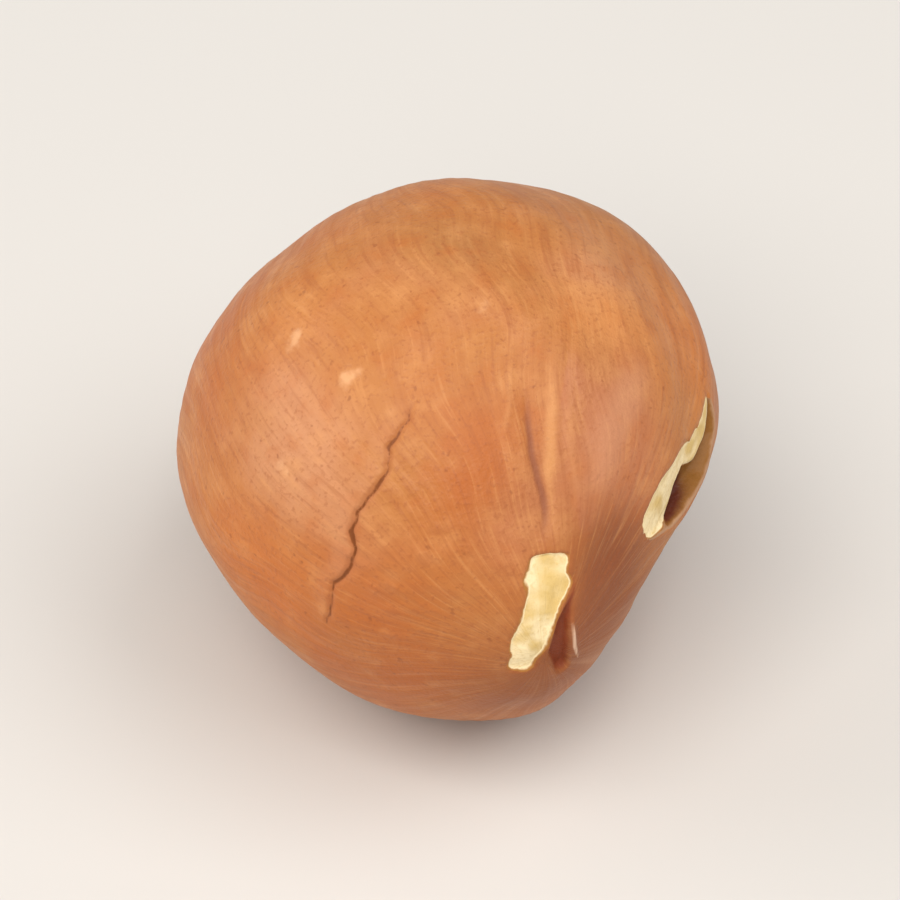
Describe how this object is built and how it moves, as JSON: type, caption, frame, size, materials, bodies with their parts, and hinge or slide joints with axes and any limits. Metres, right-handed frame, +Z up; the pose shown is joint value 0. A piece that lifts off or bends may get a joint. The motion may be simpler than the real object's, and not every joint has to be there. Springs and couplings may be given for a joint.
{
  "type": "hazelnut kernel",
  "caption": "Shelled, roasted hazelnut kernel: a round nut in thin brown skin, flat at the base and drawn to a bare pale tip, lying on its side.",
  "frame": {"origin": "under the middle of the nut, on the surface that it rests on", "axes": "+Y from the tip to the base along the nut's length, +Z up as the nut lies, +X across it"},
  "size_m": [0.0142, 0.015, 0.0137],
  "materials": {
    "roasted_skin": "dry papery skin with a soft satin sheen"
  },
  "bodies": {
    "root": {"hazelnut_kernel": "roasted_skin"}
  },
  "joints": []
}
